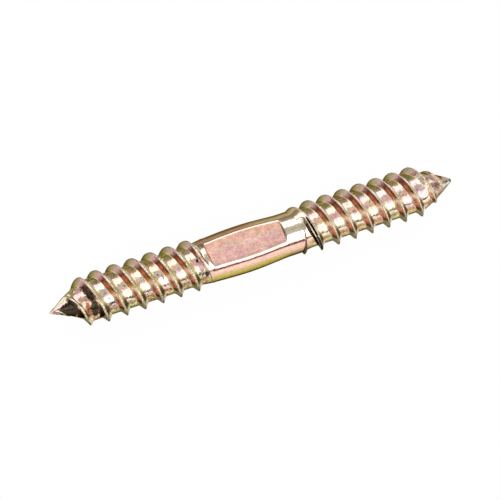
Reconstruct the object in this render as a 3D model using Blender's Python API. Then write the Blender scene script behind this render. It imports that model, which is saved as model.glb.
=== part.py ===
"""Double-ended dowel screw for joining two wooden pieces end to end.

One piece of steel wire, cold formed: a plain shank in the middle with two
pressed wrench flats, and a coarse two-start wood thread on both ends that
runs out on to a point. The screw lies along X with its middle at the origin
and its flats facing straight up and down. Lengths are in metres, angles in
degrees. Angles round the screw are counted from +Z towards -Y.
"""

import math
from dataclasses import dataclass

import bmesh
import bpy
from mathutils import Matrix, Vector

# Lengths along the screw
LEFT_THREAD_LENGTH = 0.0297
RIGHT_THREAD_LENGTH = 0.0325
SHANK_LENGTH = 0.0178

# Shank
SHANK_DIAMETER = 0.0080
SHANK_BULGE = 0.00035
SHOULDER_LENGTH = 0.0026

# Pressed wrench flats
ACROSS_FLATS = 0.0070
FLAT_LEFT_MARGIN = 0.00025
FLAT_RIGHT_MARGIN = 0.0032
FLAT_END_SLOPE = 35.0
BULGE_REACH = 0.0009

# Threads
START_COUNT = 2
LEAD = 0.00694
ROOT_DIAMETER = 0.0074
LEFT_MAJOR_DIAMETER = 0.00940
RIGHT_MAJOR_DIAMETER = 0.00955
CREST_LAND = 0.00024
FLANK_ANGLE = 30.0
LEFT_RUN_OUT_LENGTH = 0.0036
RIGHT_RUN_OUT_LENGTH = 0.0025
RUN_OUT_LAP = 0.0009
LEFT_START_ANGLE = 142.0
RIGHT_START_ANGLE = 139.5

# Points
LEFT_POINT_LENGTH = 0.00685
RIGHT_POINT_LENGTH = 0.0068
LEFT_NUB_DIAMETER = 0.0003
RIGHT_NUB_DIAMETER = 0.0006
LEFT_MID_POINT_DIAMETER = 0.00380
RIGHT_MID_POINT_DIAMETER = 0.00448
LEFT_BARE_TIP = 0.0025
RIGHT_BARE_TIP = 0.0016
LEFT_TIP_TO_FULL_THREAD = 0.0067
RIGHT_TIP_TO_FULL_THREAD = 0.0076

# Mesh fineness
STEPS_PER_TURN = 36
CUTTER_CLEARANCE = 0.002
WELD = 0.000001

# Finish: yellow chromate over zinc
ZINC_COLOUR = (0.72, 0.52, 0.34, 1.0)
ZINC_ROUGHNESS = 0.28
SMOOTH_ANGLE = 25.0

OVERALL_LENGTH = LEFT_THREAD_LENGTH + SHANK_LENGTH + RIGHT_THREAD_LENGTH
LEFT_TIP = -OVERALL_LENGTH / 2
RIGHT_TIP = OVERALL_LENGTH / 2
SHANK_LEFT = LEFT_TIP + LEFT_THREAD_LENGTH
SHANK_RIGHT = RIGHT_TIP - RIGHT_THREAD_LENGTH
FLAT_LEFT = SHANK_LEFT + FLAT_LEFT_MARGIN
FLAT_RIGHT = SHANK_RIGHT - FLAT_RIGHT_MARGIN
CREST_SPACING = LEAD / START_COUNT
ROOT_RADIUS = ROOT_DIAMETER / 2
AXIS = Vector((1.0, 0.0, 0.0))


@dataclass(frozen=True)
class ThreadedEnd:
    """One threaded end, measured inwards from its tip."""

    tip: float
    inwards: int
    length: float
    major_diameter: float
    run_out_length: float
    start_angle: float
    point_length: float
    nub_diameter: float
    mid_point_diameter: float
    bare_tip: float
    full_thread_from: float

    @property
    def crest_at_top(self):
        """Place of a crest on the upper side, found from the start at the tip."""
        return self.tip - LEAD * self.start_angle / 360

    def distance(self, x):
        """Distance of a place x from the tip, never beyond the tip itself."""
        return max((x - self.tip) * self.inwards, 0.0)

    def core_radius(self, distance):
        """Radius under the thread, on the point and along the root."""
        nub = self.nub_diameter / 2
        along = min(distance / self.point_length, 1.0)
        fullness = self.mid_point_diameter / 2 - (nub + ROOT_RADIUS) / 2
        return nub + (ROOT_RADIUS - nub) * along + 4 * fullness * along * (1 - along)

    def ridge_height(self, distance):
        """Height of the ridge, which rises on the point and dies at the shank."""
        full_height = self.major_diameter / 2 - ROOT_RADIUS
        rise = unit((distance - self.bare_tip) / (self.full_thread_from - self.bare_tip))
        left = unit((self.length + RUN_OUT_LAP - distance) / self.run_out_length)
        return full_height * min(rise, eased(left))


LEFT_END = ThreadedEnd(
    tip=LEFT_TIP,
    inwards=1,
    length=LEFT_THREAD_LENGTH,
    major_diameter=LEFT_MAJOR_DIAMETER,
    run_out_length=LEFT_RUN_OUT_LENGTH,
    start_angle=LEFT_START_ANGLE,
    point_length=LEFT_POINT_LENGTH,
    nub_diameter=LEFT_NUB_DIAMETER,
    mid_point_diameter=LEFT_MID_POINT_DIAMETER,
    bare_tip=LEFT_BARE_TIP,
    full_thread_from=LEFT_TIP_TO_FULL_THREAD,
)

RIGHT_END = ThreadedEnd(
    tip=RIGHT_TIP,
    inwards=-1,
    length=RIGHT_THREAD_LENGTH,
    major_diameter=RIGHT_MAJOR_DIAMETER,
    run_out_length=RIGHT_RUN_OUT_LENGTH,
    start_angle=RIGHT_START_ANGLE,
    point_length=RIGHT_POINT_LENGTH,
    nub_diameter=RIGHT_NUB_DIAMETER,
    mid_point_diameter=RIGHT_MID_POINT_DIAMETER,
    bare_tip=RIGHT_BARE_TIP,
    full_thread_from=RIGHT_TIP_TO_FULL_THREAD,
)


def unit(value):
    """Hold a value between 0 and 1."""
    return min(max(value, 0.0), 1.0)


def eased(share):
    """Ease a share that runs from 0 to 1 in and out."""
    return share * share * (3 - 2 * share)


def shank_radius(x):
    """Radius of the shank, which swells where the flats press the metal out."""
    middle = (FLAT_LEFT + FLAT_RIGHT) / 2
    reach = (FLAT_RIGHT - FLAT_LEFT) / 2 + BULGE_REACH
    swell = max(1 - ((x - middle) / reach) ** 2, 0.0) ** 1.5
    return SHANK_DIAMETER / 2 + SHANK_BULGE * swell


def end_at(x):
    """The threaded end that a place x belongs to, parted at mid-shank."""
    return LEFT_END if x < (SHANK_LEFT + SHANK_RIGHT) / 2 else RIGHT_END


def body_radius(x):
    """Radius of the bare body: points, roots, shoulders and shank."""
    end = end_at(x)
    distance = end.distance(x)
    core = end.core_radius(distance)
    share = eased(unit(1 - (end.length - distance) / SHOULDER_LENGTH))
    return core + (shank_radius(x) - core) * share


def crest_radius(x):
    """Radius of the crests, which sink into the bare body where the ridge ends."""
    end = end_at(x)
    distance = end.distance(x)
    return max(body_radius(x), end.core_radius(distance) + end.ridge_height(distance))


def flank_width(x):
    """Width along the screw of one flank of the ridge at a place x."""
    return (crest_radius(x) - body_radius(x)) * math.tan(math.radians(FLANK_ANGLE))


def right_thread_shift():
    """How far the right thread's crests lie from the left thread's run of crests."""
    apart = (RIGHT_END.crest_at_top - LEFT_END.crest_at_top) / CREST_SPACING
    return (apart - round(apart)) * CREST_SPACING


def clear_scene():
    """Remove every object that is already there."""
    for item in list(bpy.data.objects):
        bpy.data.objects.remove(item, do_unlink=True)


def zinc_material():
    """Yellow chromate zinc as a plain metal."""
    material = bpy.data.materials.new("yellow_zinc")
    material.use_nodes = True
    shader = material.node_tree.nodes["Principled BSDF"]
    shader.inputs["Base Color"].default_value = ZINC_COLOUR
    shader.inputs["Metallic"].default_value = 1.0
    shader.inputs["Roughness"].default_value = ZINC_ROUGHNESS
    return material


def object_from(bm, name, material):
    """Turn a finished bmesh into a smooth-shaded object in the scene."""
    mesh = bpy.data.meshes.new(name)
    bm.to_mesh(mesh)
    bm.free()
    mesh.materials.append(material)
    mesh.shade_smooth()
    mesh.set_sharp_from_angle(angle=math.radians(SMOOTH_ANGLE))
    item = bpy.data.objects.new(name, mesh)
    bpy.context.scene.collection.objects.link(item)
    return item


def draw_thread_outline(bm, height):
    """Draw the outline of an even thread, one turn longer than the screw."""
    foot = CREST_LAND / 2 + height * math.tan(math.radians(FLANK_ANGLE))
    outline = (
        (-foot, 0.0),
        (-CREST_LAND / 2, height),
        (CREST_LAND / 2, height),
        (foot, 0.0),
        (CREST_SPACING / 2, 0.0),
    )
    first = math.floor((LEFT_TIP - LEAD - LEFT_END.crest_at_top) / CREST_SPACING) - 1
    last = math.ceil((RIGHT_TIP - LEFT_END.crest_at_top) / CREST_SPACING) + 1
    verts = []
    for ridge in range(first, last + 1):
        for offset, rise in outline:
            x = LEFT_END.crest_at_top + ridge * CREST_SPACING + offset
            verts.append(bm.verts.new((x, 0.0, ROOT_RADIUS + rise)))
    edges = [bm.edges.new(pair) for pair in zip(verts, verts[1:])]
    return verts + edges


def wind_thread(bm, outline):
    """Wind an outline one full turn about X, moving it on by the lead."""
    bmesh.ops.spin(
        bm,
        geom=outline,
        cent=(0.0, 0.0, 0.0),
        axis=AXIS,
        dvec=AXIS * (LEAD / STEPS_PER_TURN),
        angle=2 * math.pi,
        steps=STEPS_PER_TURN,
    )
    bmesh.ops.remove_doubles(bm, verts=bm.verts, dist=WELD)


def form_screw(bm, height):
    """Give the even thread its points, roots, run-outs and plain shank."""
    shift = right_thread_shift()
    for vert in bm.verts:
        angle = math.atan2(-vert.co.y, vert.co.z)
        on_crest = math.hypot(vert.co.y, vert.co.z) > ROOT_RADIUS + height / 2
        run = vert.co.x - LEFT_END.crest_at_top - LEAD * angle / (2 * math.pi)
        offset = run - CREST_SPACING * round(run / CREST_SPACING)
        ridge_x = vert.co.x - offset
        ridge_x += shift * eased(unit((ridge_x - SHANK_LEFT) / SHANK_LENGTH))
        at_foot = not on_crest and abs(offset) < 0.99 * CREST_SPACING / 2
        if at_foot:
            offset = math.copysign(CREST_LAND / 2 + flank_width(ridge_x), offset)
        x = min(max(ridge_x + offset, LEFT_TIP), RIGHT_TIP)
        radius = crest_radius(x) if on_crest else body_radius(x)
        vert.co = (x, -radius * math.sin(angle), radius * math.cos(angle))
    bmesh.ops.remove_doubles(bm, verts=bm.verts, dist=WELD)


def close_tips(bm):
    """Cap the blunt tips and turn every face outwards."""
    rims = [edge for edge in bm.edges if edge.is_boundary]
    bmesh.ops.holes_fill(bm, edges=rims, sides=0)
    bmesh.ops.recalc_face_normals(bm, faces=bm.faces)


def threaded_blank(material):
    """The whole screw before its flats are pressed."""
    height = RIGHT_MAJOR_DIAMETER / 2 - ROOT_RADIUS
    bm = bmesh.new()
    wind_thread(bm, draw_thread_outline(bm, height))
    form_screw(bm, height)
    close_tips(bm)
    return object_from(bm, "dowel_screw", material)


def flat_cutter(name, turn, material):
    """Block that presses one wrench flat, with sloping end walls."""
    height = SHANK_DIAMETER / 2 + CUTTER_CLEARANCE - ACROSS_FLATS / 2
    length = FLAT_RIGHT - FLAT_LEFT
    top_length = length + 2 * height * math.tan(math.radians(FLAT_END_SLOPE))
    middle = (FLAT_LEFT + FLAT_RIGHT) / 2
    block = Matrix.Diagonal((length, SHANK_DIAMETER * 2, height)).to_4x4()
    bm = bmesh.new()
    bmesh.ops.create_cube(bm, size=1, matrix=block)
    top = [vert for vert in bm.verts if vert.co.z > 0]
    for vert in top:
        vert.co.x = math.copysign(top_length / 2, vert.co.x)
    lift = (middle, 0, ACROSS_FLATS / 2 + height / 2)
    bmesh.ops.translate(bm, vec=lift, verts=bm.verts)
    bmesh.ops.rotate(bm, matrix=Matrix.Rotation(math.radians(turn), 3, "X"), verts=bm.verts)
    cutter = object_from(bm, name, material)
    cutter.hide_render = True
    cutter.display_type = "WIRE"
    return cutter


def cut(body, cutter):
    """Take a cutter away from the body with an exact boolean."""
    boolean = body.modifiers.new(cutter.name, "BOOLEAN")
    boolean.operation = "DIFFERENCE"
    boolean.solver = "EXACT"
    boolean.object = cutter


def main():
    """Form the threaded blank, then press its two flats."""
    clear_scene()
    material = zinc_material()
    screw = threaded_blank(material)
    cut(screw, flat_cutter("upper_flat_cutter", 0, material))
    cut(screw, flat_cutter("lower_flat_cutter", 180, material))


main()
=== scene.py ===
"""Dresses the dowel screw in yellow zinc and sets it on a pale floor in soft studio light."""

import logging
import math
from collections.abc import Callable
from dataclasses import dataclass
from enum import Enum

import bpy
import numpy as np
from mathutils import Matrix, Vector, noise


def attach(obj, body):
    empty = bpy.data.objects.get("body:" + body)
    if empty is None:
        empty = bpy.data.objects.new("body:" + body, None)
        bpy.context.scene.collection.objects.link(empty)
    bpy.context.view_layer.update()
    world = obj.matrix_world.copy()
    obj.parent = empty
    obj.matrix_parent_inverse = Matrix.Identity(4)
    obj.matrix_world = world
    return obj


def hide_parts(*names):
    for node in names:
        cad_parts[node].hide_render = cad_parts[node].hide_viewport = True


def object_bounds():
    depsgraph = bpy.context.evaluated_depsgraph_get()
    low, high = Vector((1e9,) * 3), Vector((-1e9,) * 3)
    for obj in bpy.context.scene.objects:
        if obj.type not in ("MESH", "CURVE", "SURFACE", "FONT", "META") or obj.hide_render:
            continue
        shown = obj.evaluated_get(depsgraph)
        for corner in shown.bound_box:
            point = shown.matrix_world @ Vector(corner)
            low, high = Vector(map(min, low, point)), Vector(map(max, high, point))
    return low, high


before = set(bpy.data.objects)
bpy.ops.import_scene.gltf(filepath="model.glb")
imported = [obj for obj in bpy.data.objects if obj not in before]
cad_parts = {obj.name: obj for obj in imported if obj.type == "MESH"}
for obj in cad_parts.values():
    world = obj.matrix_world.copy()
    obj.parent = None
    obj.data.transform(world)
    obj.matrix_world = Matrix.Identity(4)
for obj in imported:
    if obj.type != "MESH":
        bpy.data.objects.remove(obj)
cad_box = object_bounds()

log = logging.getLogger("dowel_screw")
MM = 0.001
Colour = tuple[float, float, float]
Span = tuple[float, float]
Values = np.ndarray
Socket = bpy.types.NodeSocket
Number = Socket | float
Paint = Socket | Colour


class Hand(Enum):
    """Which end of the screw a thread belongs to; the value is the way inwards from its tip."""

    LEFT = 1
    RIGHT = -1


def unit(value: Values) -> Values:
    """Hold values between 0 and 1."""
    return np.clip(value, 0.0, 1.0)


def eased(share: Values) -> Values:
    """Ease shares that run from 0 to 1 in and out."""
    share = unit(share)
    return share * share * (3 - 2 * share)


def soft_min(first: Values, second: Values, reach: float) -> Values:
    """Take the lower of two values, eased into each other where they come within reach."""
    overlap = np.maximum(reach - np.abs(first - second), 0.0) / reach
    return np.minimum(first, second) - overlap * overlap * reach / 4


def soft_max(first: Values, second: Values, reach: float) -> Values:
    """Take the higher of two values, eased into each other where they come within reach."""
    return -soft_min(-first, -second, reach)


def ripple(places: Values, scale: float, seed: float) -> Values:
    """Give smooth noise between about -1 and 1 at each place, in cells to a millimetre."""
    scaled = places / MM * scale + seed
    return np.array([noise.noise(row) for row in scaled.tolist()])


@dataclass(frozen=True)
class ThreadedEnd:
    """One threaded end of the screw, measured inwards from its tip, in metres and degrees."""

    hand: Hand
    tip: float
    length: float
    major_diameter: float
    run_out_length: float
    start_angle: float
    point_length: float
    nub_diameter: float
    mid_point_diameter: float
    bare_tip: float
    full_thread_from: float
    land: float
    lean: float
    lean_reach: float
    tail_height: float
    point_bend: float
    root_diameter: float = 7.4 * MM
    lead: float = 6.94 * MM
    run_out_lap: float = 0.9 * MM
    tail_lap: float = 1.5 * MM
    tail_length: float = 3.4 * MM
    tail_from: float = 6 * MM
    bend_at: float = 3.5 * MM
    bend_reach: float = 3.4 * MM
    lean_at: float = -11.0
    lag: float = 0.3 * MM
    lag_from: float = 27.0 * MM
    lag_length: float = 1.8 * MM

    @property
    def crest_at_top(self) -> float:
        """Place of a crest on the upper side, found from the start at the tip."""
        return self.tip - self.lead * self.start_angle / 360

    @property
    def full_height(self) -> float:
        """Height of the finished ridge over the root."""
        return (self.major_diameter - self.root_diameter) / 2

    def distance(self, x: Values) -> Values:
        """Distance of places x from the tip, never beyond the tip itself."""
        return np.maximum((x - self.tip) * self.hand.value, 0.0)

    def core_radius(self, distance: Values) -> Values:
        """Radius under the thread, on the point and along the root.

        Args:
            distance: Distances from the tip.

        Returns:
            The radius at each distance.
        """
        nub = self.nub_diameter / 2
        root = self.root_diameter / 2
        along = np.minimum(distance / self.point_length, 1.0)
        fullness = self.mid_point_diameter / 2 - (nub + root) / 2
        return nub + (root - nub) * along + 4 * fullness * along * (1 - along)

    def ridge_height(self, distance: Values) -> Values:
        """Height of the ridge, which rises on the point and dies at the shank.

        Args:
            distance: Distances from the tip.

        Returns:
            The height over the root at each distance.
        """
        rise = unit((distance - self.bare_tip) / (self.full_thread_from - self.bare_tip))
        left = (self.length + self.run_out_lap - distance) / self.run_out_length
        return self.full_height * np.minimum(rise, eased(left))

    def tail(self, distance: Values) -> Values:
        """Least height over the shank that the ridge keeps while it dies away."""
        left = (self.length + self.tail_lap - distance) / self.tail_length
        return self.tail_height * eased(left) * (distance > self.length - self.tail_from)

    def bend(self, distance: Values) -> Values:
        """How far the point's middle lies off the axis, towards the upper back."""
        return self.point_bend * eased(1 - np.abs(distance - self.bend_at) / self.bend_reach)

    def shift(self, distance: Values, degrees: Values) -> Values:
        """How far the ridge strays along the screw from an even helix.

        Args:
            distance: Distances from the tip.
            degrees: Angles around the screw, between -180 and 180.

        Returns:
            The shift towards +X at each place.
        """
        lean = self.lean * eased(1 - np.abs(degrees - self.lean_at) / self.lean_reach)
        if self.hand is Hand.RIGHT:
            return -lean
        return -lean - self.lag * eased((distance - self.lag_from) / self.lag_length)


@dataclass(frozen=True)
class WrenchFlats:
    """The two pressed flats on the shank, with sloping end walls."""

    across: float = 7.0 * MM
    left: float = -10.05 * MM
    right: float = 4.3 * MM
    left_slope: float = 42.0
    right_slope: float = 28.0
    left_skew: float = 0.07
    back_edge_round: float = 0.20 * MM
    front_edge_round: float = 0.34 * MM
    foot_round: float = 0.05 * MM
    dish: float = 0.02 * MM
    left_fall: float = 0.21 * MM
    right_fall: float = 0.10 * MM
    dish_reach: float = 2.4 * MM
    dish_above: float = 0.1 * MM
    left_wall_lead: float = 0.2 * MM
    right_wall_lead: float = 0.1 * MM
    fine_within: float = 0.7 * MM
    fine_reach: float = 0.24 * MM
    press_left: float = 1.1 * MM
    press_right: float = 0.8 * MM
    # Painted highlight: a pale strip along the back edge of each flat, where it lies, how wide and
    # how strong.
    highlight_at: float = 0.04 * MM
    highlight_width: float = 0.08 * MM
    brightness: float = 0.8

    @property
    def middle(self) -> float:
        """Middle of the flats along the screw."""
        return (self.left + self.right) / 2

    def limit(self, x: Values, y: Values) -> Values:
        """Height over the axis that the press leaves.

        Args:
            x: Places along the screw.
            y: Places across it.

        Returns:
            The greatest height that metal still has there.
        """
        left_steep = 1 / math.tan(math.radians(self.left_slope))
        right_steep = 1 / math.tan(math.radians(self.right_slope))
        left_wall = (self.left - self.left_skew * y - x) * left_steep
        wall = np.maximum(left_wall, (x - self.right) * right_steep)
        along = np.clip((x - self.middle) / (self.right - self.middle), -1.0, 1.0)
        fall = np.where(along < 0, self.left_fall, self.right_fall) * along**2
        bed = self.across / 2 - fall
        return bed + soft_max(wall, np.zeros_like(x), self.foot_round)

    def near_edge(self, x: Values, y: Values, height: Values) -> Values:
        """Tell which places lie near an edge or an end wall of a flat.

        Args:
            x: Places along the screw.
            y: Places across it.
            height: Heights over the axis before the press, without sign.

        Returns:
            True for each place near an edge.
        """
        reach = self.fine_reach
        along_edge = np.abs(height - self.limit(x, y)) < reach
        left_gap = np.abs(x - self.left + self.left_skew * y + self.left_wall_lead)
        right_gap = np.abs(x - self.right - self.right_wall_lead)
        on_wall = height > self.across / 2 - reach
        on_wall &= np.minimum(left_gap, right_gap) < 3 * reach
        in_reach = (x > self.left - self.fine_within) & (x < self.right + self.fine_within)
        return (along_edge | on_wall) & in_reach


@dataclass(frozen=True)
class BurrRing:
    """Thin ring of metal squeezed up square to the axis, where the right thread's dies ended."""

    place: float = 8.0 * MM
    height: float = 0.50 * MM
    width: float = 0.13 * MM
    side: float = 0.07 * MM
    shows_from: float = 6.0
    full_from: float = 85.0
    fades_from: float = 100.0
    gone_by: float = 114.0
    fine_reach: float = 0.28 * MM
    full_tint: float = 0.1 * MM

    def rise(self, x: Values, angle: Values) -> Values:
        """Height of the burr over the body.

        Args:
            x: Places along the screw.
            angle: Angles around it in degrees, from the top towards the near side.

        Returns:
            The height that the burr adds.
        """
        turned = np.mod(angle, 360.0)
        grown = eased((turned - self.shows_from) / (self.full_from - self.shows_from))
        kept = eased((self.gone_by - turned) / (self.gone_by - self.fades_from))
        across = unit((self.width - np.abs(x - self.place)) / self.side)
        return self.height * np.minimum(grown, kept) * across


@dataclass(frozen=True)
class RidgeOutline:
    """Outline of one ridge and the half root on each side of it."""

    spacing: float = 3.47 * MM
    land: float = 0.24 * MM
    height: float = 1.075 * MM
    flank_angle: float = 30.0
    left_flank_angle: float = 36.0
    right_flank_angle: float = 29.0
    spare_flank: float = 0.30 * MM
    left_fillet: float = 0.05 * MM
    right_fillet: float = 0.17 * MM
    crest_points: tuple[tuple[float, float], ...] = ((0.0, 1.0), (0.6, 0.995), (0.96, 0.96))
    flank_rises: tuple[float, ...] = (0.80, 0.55, 0.30, 0.12)
    foot_points: tuple[tuple[float, float], ...] = ((0.02, 0.035), (0.16, 0.0))
    root_shares: tuple[float, ...] = (0.36, 0.57, 0.78)

    @property
    def flank_width(self) -> float:
        """Width of a full flank along the screw."""
        return self.height * math.tan(math.radians(self.flank_angle))

    @property
    def foot(self) -> float:
        """Distance of a full ridge's foot from its middle."""
        return self.land / 2 + self.flank_width

    def half(self) -> list[tuple[float, float]]:
        """List offsets from the ridge's middle and rises, from the crest to the middle of the root.

        Returns:
            Pairs of an offset in metres and a share of the full height.
        """
        root = self.spacing / 2 - self.foot
        points = [(share * self.land / 2, rise) for share, rise in self.crest_points]
        for rise in self.flank_rises:
            points.append((self.land / 2 + (1 - rise) * self.flank_width, rise))
        points += [(self.foot + share * root, rise) for share, rise in self.foot_points]
        points += [(self.foot + share * root, 0.0) for share in self.root_shares]
        return points + [(self.spacing / 2, 0.0)]

    def whole(self) -> list[tuple[float, float]]:
        """List the points of a whole spacing, from the middle of one root to the next."""
        half = self.half()
        return [(-offset, rise) for offset, rise in reversed(half[1:])] + half

    def fitted(
        self, offset: Values, height: Values, land: Values, spread: Values, left_angle: Values
    ) -> Values:
        """Fit offsets of the drawn ridge to the ridge that stands there.

        Args:
            offset: Offsets from the middle of the drawn ridge.
            height: Heights that the ridge really has there.
            land: Widths of its crest.
            spread: How much further the crest's left edge lies out.
            left_angle: Angles of its left flank from the upright, in degrees.

        Returns:
            The offsets on the real ridge.
        """
        size = np.abs(offset)
        right = math.tan(math.radians(self.right_flank_angle))
        tangent = np.where(offset < 0, np.tan(np.radians(left_angle)), right)
        edge = land / 2 + np.where(offset < 0, spread, 0.0)
        width = height * tangent + unit(1 - height / self.height) * self.spare_flank
        fillet = np.where(offset < 0, self.left_fillet, self.right_fillet)
        foot = edge + width + fillet
        on_land = size * edge / (self.land / 2)
        down = (size - self.land / 2) / self.flank_width
        on_flank = edge + down * width + fillet * unit((down - 0.5) / 0.5) ** 2
        half = self.spacing / 2
        on_root = foot + (size - self.foot) * (half - foot) / (half - self.foot)
        beyond_land = np.where(size <= self.foot, on_flank, on_root)
        return np.copysign(np.where(size <= self.land / 2, on_land, beyond_land), offset)


@dataclass(frozen=True)
class SplitCrest:
    """The first crest of the right thread, rolled over into two lips with a groove between."""

    ridge: int = -8
    spread: float = 0.58 * MM
    shift: float = 0.08 * MM
    turn_angles: tuple[float, ...] = (-120.0, -62.0, -14.0, -3.0)
    flank_angles: tuple[float, ...] = (40.0, 54.0, 54.0, 14.0)
    spare_ridge: int = -9
    spare_from: float = 112.0
    spare_sweep: float = 60.0
    spread_angles: tuple[float, ...] = (-150.0, -75.0, -14.0, 0.0, 25.0, 75.0, 105.0, 130.0)
    spread_shares: tuple[float, ...] = (0.0, 0.10, 0.35, 0.80, 1.0, 0.50, 0.15, 0.0)
    groove_place: float = 0.42
    groove_width: float = 0.26 * MM
    groove_depth: float = 0.42 * MM
    groove_angles: tuple[float, ...] = (-14.0, -4.0, 6.0, 62.0, 84.0, 100.0)
    groove_shares: tuple[float, ...] = (0.0, 0.45, 1.0, 1.0, 0.6, 0.0)
    # How deep the groove must be to take its full painted shade, and the angles over which painted
    # shade comes onto the left lip.
    groove_full_shade: float = 0.12 * MM
    lip_from: float = 1.0
    lip_over: float = 8.0
    fine_at: float = 0.45 * MM
    fine_reach: float = 0.55 * MM
    fine_angle: float = 20
    fine_sweep: float = 90
    fine_above: float = 0.9

    def left_angle(self, degrees: Values) -> Values:
        """How far the left lip's flank leans from the upright, in degrees."""
        return np.interp(degrees, self.turn_angles, self.flank_angles)

    def widened(self, degrees: Values) -> Values:
        """How far the left lip lies out at each angle."""
        return self.spread * np.interp(degrees, self.spread_angles, self.spread_shares)

    def groove(self, offset: Values, degrees: Values) -> Values:
        """Depth of the groove between the lips.

        Args:
            offset: Offsets from the ridge's own middle, on the finished screw.
            degrees: Angles around the screw, between -180 and 180.

        Returns:
            The depth at each place.
        """
        middle = -self.groove_place * self.widened(degrees)
        share = np.interp(degrees, self.groove_angles, self.groove_shares)
        return self.groove_depth * share * eased(1 - np.abs(offset - middle) / self.groove_width)


class Tone(Enum):
    """Kinds of patch in the film, named as the finish reads them; the bare-metal patches are partly
    painted highlights, and the dark tone also carries painted shade on the split crest.
    """

    BARE_AND_HIGHLIGHT = "bare_metal_and_highlight"
    RUST = "rust_film"
    DULL = "dull_film"
    DARK = "dark_patch_and_crest_shade"
    TAN = "tan_film"


@dataclass(frozen=True)
class Stain:
    """A patch where the film differs, in millimetres along the screw and degrees around it."""

    tone: Tone
    x: float
    angle: float
    length: float
    sweep: float
    depth: float = 1.0
    slant: float = 0.0

    def at(self, x: Values, degrees: Values) -> Values:
        """Strength of the stain.

        Args:
            x: Places along the screw.
            degrees: Angles around it, between -180 and 180.

        Returns:
            Strengths between 0 and the stain's depth.
        """
        turned = degrees - self.angle
        along = (x / MM - self.x - self.slant * turned) / self.length
        return self.depth * eased(1.5 - 1.5 * np.hypot(along, turned / self.sweep))


STAINS: dict[Tone, tuple[tuple[float, ...], ...]] = {
    Tone.DARK: (
        (-37.1, 50.0, 2.2, 84.0), (-36.2, 30.0, 1.0, 70.0), (-35.3, 64.0, 0.8, 44.0),
        (-31.85, 56.0, 0.6, 48.0, 0.85), (-32.9, 42.0, 1.0, 40.0, 0.9),
        (-33.1, 8.0, 0.9, 84.0, 0.62, 0.0193), (-33.8, -8.0, 0.25, 5.0, 0.9),
        (-11.5, 10.0, 0.22, 92.0, 0.85, 0.0127), (-12.73, 6.0, 0.45, 9.0, 0.8),
        (-11.6, 50.0, 0.6, 15.0, 0.75), (-12.85, 46.0, 0.2, 14.0, 0.8),
        (-20.34, 8.0, 0.25, 6.0, 0.8), (-19.61, 20.0, 0.2, 10.0, 0.9),
        (-18.56, 60.0, 0.3, 9.0, 0.7), (-30.44, 12.0, 0.2, 6.0, 0.7),
        (17.74, -12.0, 0.2, 5.0, 0.8), (17.54, 0.0, 0.2, 5.0, 0.7),
        (21.79, 20.0, 0.2, 5.0, 0.6), (33.8, -28.0, 0.35, 8.0, 0.8),
        (34.1, -12.0, 0.25, 12.0, 0.8), (33.7, 6.0, 0.2, 9.0, 0.7),
        (35.4, -10.0, 0.4, 10.0, 0.45), (37.7, -30.0, 0.4, 40.0, 0.7),
        (39.9, 0.0, 0.35, 900.0, 0.9),
    ),
    # Bare-metal patches, partly laid as painted highlights in pale cream.
    Tone.BARE_AND_HIGHLIGHT: (
        (-37.6, -36.0, 2.4, 30.0), (32.9, -14.0, 1.3, 46.0, 0.5), (33.45, 8.0, 0.6, 22.0, 0.6),
        (-12.2, -6.0, 0.5, 40.0, 0.55), (-34.7, -34.0, 1.2, 18.0, 0.5),
    ),
    Tone.DULL: (
        (-36.5, -15.0, 0.6, 20.0), (-38.7, 36.0, 1.5, 46.0, 0.8), (-12.3, 25.0, 0.8, 26.0, 0.8),
        (-10.75, -32.0, 0.45, 18.0, 0.9),
    ),
    Tone.RUST: (
        (-33.9, 40.0, 0.7, 34.0, 0.9), (-12.1, 0.0, 0.5, 34.0, 0.55),
    ),
    Tone.TAN: (
        (36.6, 20.0, 3.0, 300.0, 0.5),
    ),
}


class EditTools:
    """Edit-mode steps that the pieces share."""

    @staticmethod
    def start_at(name: str, place: Vector) -> bpy.types.Object:
        """Begin a mesh with a single point.

        Args:
            name: Name of the new object.
            place: Where the point goes.

        Returns:
            The new object, left in edit mode with its point selected.
        """
        bpy.ops.object.select_all(action="DESELECT")
        bpy.ops.mesh.primitive_plane_add(size=MM, location=(0, 0, 0))
        item = bpy.context.object
        item.name = name
        item.data.name = name
        bpy.ops.object.mode_set(mode="EDIT")
        bpy.ops.mesh.select_all(action="SELECT")
        bpy.ops.mesh.merge(type="CENTER")
        bpy.ops.transform.translate(value=place)
        return item

    @staticmethod
    def draw_on(step: Vector) -> None:
        """Extrude the last point by one step."""
        bpy.ops.mesh.extrude_vertices_move(TRANSFORM_OT_translate={"value": step})

    @staticmethod
    def apply(item: bpy.types.Object, kind: str, **settings: object) -> None:
        """Add a modifier with the given settings and apply it.

        Args:
            item: The object it works on.
            kind: Type of the modifier.
            **settings: Values for the modifier's own properties.
        """
        modifier = item.modifiers.new(kind.lower(), kind)
        for key, value in settings.items():
            setattr(modifier, key, value)
        bpy.context.view_layer.objects.active = item
        bpy.ops.object.modifier_apply(modifier=modifier.name)

    @staticmethod
    def select_faces(item: bpy.types.Object, chosen: Values) -> None:
        """Select faces in object mode, then enter edit mode in face mode.

        Args:
            item: The object whose faces are chosen.
            chosen: True for each face to select.
        """
        bpy.ops.object.mode_set(mode="EDIT")
        bpy.ops.mesh.select_mode(type="FACE")
        bpy.ops.mesh.select_all(action="DESELECT")
        bpy.ops.object.mode_set(mode="OBJECT")
        item.data.polygons.foreach_set("select", chosen)
        bpy.ops.object.mode_set(mode="EDIT")

    @staticmethod
    def trim(place: float, keep: int) -> None:
        """Cut the mesh square to the axis and close it; keep is 1 for the +X side, or -1."""
        bpy.ops.mesh.select_all(action="SELECT")
        bpy.ops.mesh.bisect(
            plane_co=(place, 0, 0),
            plane_no=(keep, 0, 0),
            use_fill=True,
            clear_inner=True,
            threshold=1e-7,
        )


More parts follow.
